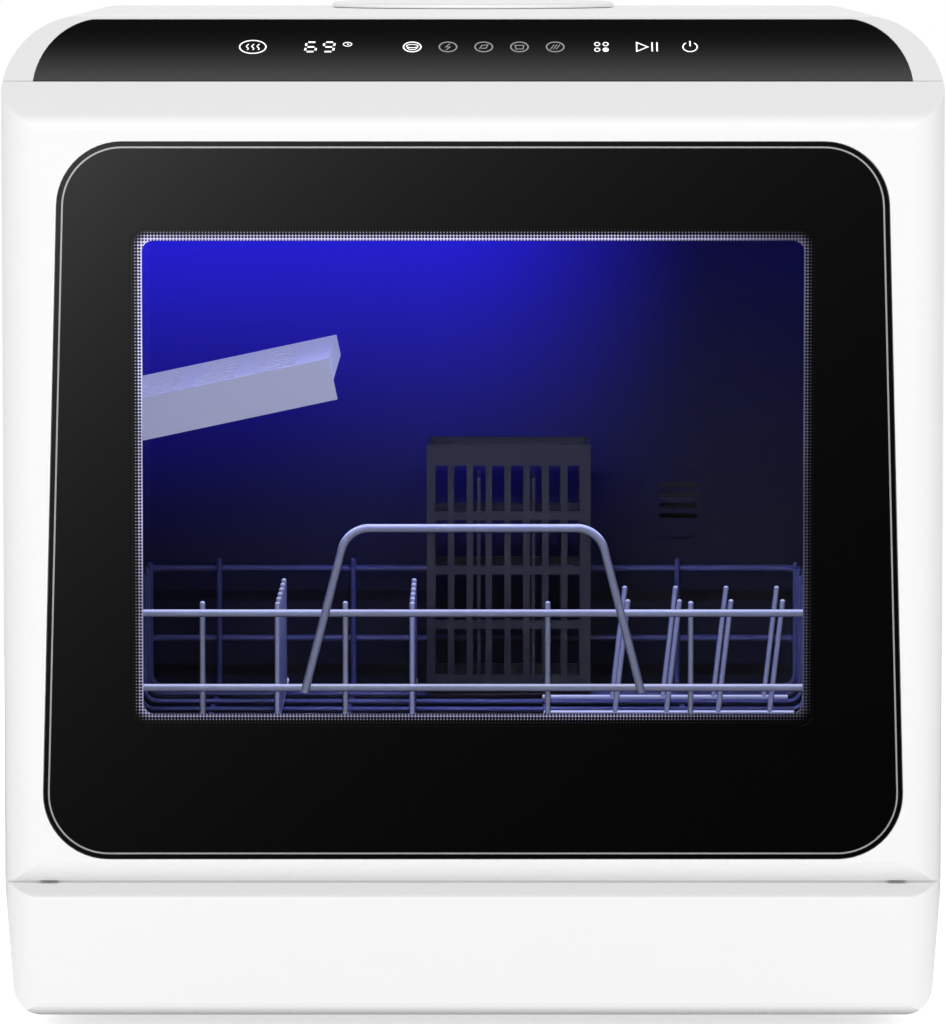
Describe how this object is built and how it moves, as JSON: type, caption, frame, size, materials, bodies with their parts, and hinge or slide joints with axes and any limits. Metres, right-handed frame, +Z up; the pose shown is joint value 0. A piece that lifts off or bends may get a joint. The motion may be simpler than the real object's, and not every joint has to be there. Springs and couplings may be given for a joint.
{
  "type": "countertop dishwasher",
  "caption": "Countertop dishwasher with a drop-down glass door, sliding wire rack, spray arm, water tank under a hinged filling lid and a sloping touch panel.",
  "frame": {"origin": "middle of the footprint on the surface that it stands on", "axes": "+Z up, the door faces -Y, +X to the right seen from the front"},
  "size_m": [0.42, 0.435, 0.457],
  "materials": {
    "white_shell": "white ABS, satin to semi gloss",
    "black_gloss": "gloss black touch panel",
    "dark_glass": "tempered glass, black print behind it",
    "clear_glass": "clear",
    "steel": "plain steel",
    "coated_wire": "nylon coated steel wire",
    "tub_plastic": "grey moulded liner",
    "grey_plastic": "moulded, fine texture",
    "black_plastic": "moulded",
    "pale_plastic": "translucent moulding",
    "rubber": "soft grey",
    "circuit": "green board with parts",
    "lamp": "blue diffuser"
  },
  "bodies": {
    "root": {"base_pan": "pale_plastic", "feet": "rubber", "lower_front_panel": "white_shell", "side_cover_left": "white_shell", "side_cover_right": "white_shell", "top_cover": "white_shell", "rear_panel": "white_shell", "cover_screws": "steel", "control_panel": "black_gloss", "control_board": "circuit", "display_module": "black_plastic", "front_frame": "tub_plastic", "tub": "tub_plastic", "air_grille": "tub_plastic", "door_seal": "rubber", "interior_lamp": "lamp", "sump": "grey_plastic", "filter_plate": "steel", "spray_hub": "grey_plastic", "upper_nozzle": "grey_plastic", "wash_pump": "black_plastic", "drain_pump": "black_plastic", "heater": "steel", "water_tank": "pale_plastic", "fill_funnel": "pale_plastic", "lid_pin": "steel", "inlet_valve": "white_shell", "drain_spigot": "black_plastic", "power_gland": "black_plastic", "power_board": "circuit", "fan_housing": "grey_plastic", "shelf_brackets": "grey_plastic", "rack_guides": "grey_plastic", "hinge_bracket_left": "steel", "hinge_bracket_right": "steel", "latch_body": "black_plastic"},
    "door": {"door_frame": "white_shell", "door_glass": "dark_glass", "window_spacer": "black_plastic", "door_liner": "steel", "inner_pane": "clear_glass", "door_catch": "steel", "hinge_pins": "steel"},
    "rack": {"rack_front": "coated_wire", "rack_back": "coated_wire", "rack_sides": "coated_wire", "rack_floor": "coated_wire", "rack_tines": "coated_wire"},
    "cutlery_basket": {"cutlery_basket": "grey_plastic"},
    "cup_shelf": {"cup_shelf": "tub_plastic"},
    "spray_arm": {"spray_arm": "grey_plastic"},
    "filter_cup": {"filter_cup": "grey_plastic"},
    "fill_lid": {"fill_lid": "white_shell"},
    "wash_rotor": {"wash_impeller": "pale_plastic"},
    "drain_rotor": {"drain_impeller": "pale_plastic"},
    "fan_rotor": {"fan_wheel": "pale_plastic"},
    "latch_hook": {"latch_hook": "pale_plastic"}
  },
  "joints": [
    {"name": "door_hinge", "type": "hinge", "parent": "root", "child": "door", "pos_m": [0, -0.208, 0.0775], "axis": [1, 0, 0], "range_deg": [0, 90]},
    {"name": "rack_slide", "type": "slide", "parent": "root", "child": "rack", "axis": [0, -1, 0], "range_m": [0, 0.1134]},
    {"name": "basket_lift", "type": "slide", "parent": "rack", "child": "cutlery_basket", "axis": [0, 0, 1], "range_m": [0, 0.06]},
    {"name": "cup_shelf_fold", "type": "hinge", "parent": "root", "child": "cup_shelf", "pos_m": [-0.167, -0.05, 0.276], "axis": [0, -1, 0], "range_deg": [0, 76]},
    {"name": "spray_arm_spin", "type": "hinge", "parent": "root", "child": "spray_arm", "pos_m": [0, -0.039, 0.112], "axis": [0, 0, 1], "continuous": true},
    {"name": "filter_twist", "type": "hinge", "parent": "root", "child": "filter_cup", "pos_m": [0.096, -0.094, 0.07], "axis": [0, 0, 1], "range_deg": [0, 60]},
    {"name": "fill_lid_hinge", "type": "hinge", "parent": "root", "child": "fill_lid", "pos_m": [0, 0.2058, 0.45565], "axis": [-1, 0, 0], "range_deg": [0, 100]},
    {"name": "wash_impeller_spin", "type": "hinge", "parent": "root", "child": "wash_rotor", "pos_m": [-0.054, 0.045, 0.056], "axis": [1, 0, 0], "continuous": true},
    {"name": "drain_impeller_spin", "type": "hinge", "parent": "root", "child": "drain_rotor", "pos_m": [0.121, 0.03, 0.044], "axis": [1, 0, 0], "continuous": true},
    {"name": "fan_spin", "type": "hinge", "parent": "root", "child": "fan_rotor", "pos_m": [0.1, 0.133, 0.16], "axis": [0, 1, 0], "continuous": true},
    {"name": "latch_hook_swing", "type": "hinge", "parent": "root", "child": "latch_hook", "pos_m": [0, -0.146, 0.4236], "axis": [-1, 0, 0], "range_deg": [0, 12], "stiffness_Nm_per_rad": 0.1, "springref_deg": -11.46}
  ],
  "couplings": [
    {"joint": "rack_slide", "follows": "door_hinge", "m_per_rad": 0.072}
  ]
}
